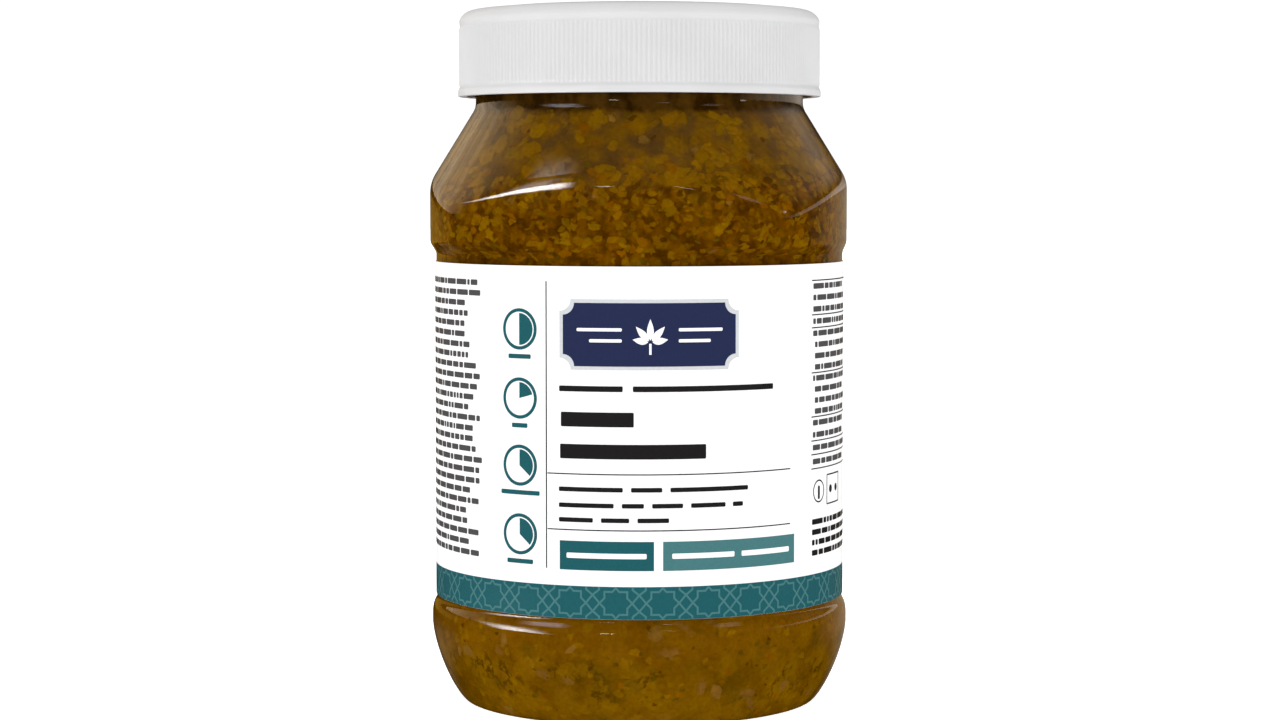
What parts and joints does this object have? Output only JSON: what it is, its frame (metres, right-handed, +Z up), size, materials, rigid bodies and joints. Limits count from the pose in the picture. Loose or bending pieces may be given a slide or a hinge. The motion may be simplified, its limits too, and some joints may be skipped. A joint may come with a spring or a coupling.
{
  "type": "jar of baba ganoush dip",
  "caption": "Shut clear plastic jar of chunky aubergine dip, with a soft-square shoulder, a ribbed white screw lid and a wrap-round printed label.",
  "frame": {"origin": "centre of the foot, on the surface the jar stands on", "axes": "+Z up along the jar's axis, -Y is the front of the label, +X is to the right seen from the front"},
  "size_m": [0.0966, 0.0966, 0.1597],
  "materials": {
    "clear_plastic": "clear, thin moulded wall, high gloss",
    "white_plastic": "white, slightly milky, satin, ribbed grip",
    "label_paper": "white coated sheet, smooth satin, with printed fields",
    "dip_paste": "wet oily paste of brown matrix with ochre and orange chunks"
  },
  "bodies": {
    "root": {"jar": "clear_plastic", "lid": "white_plastic", "label": "label_paper", "dip": "dip_paste"}
  },
  "joints": []
}
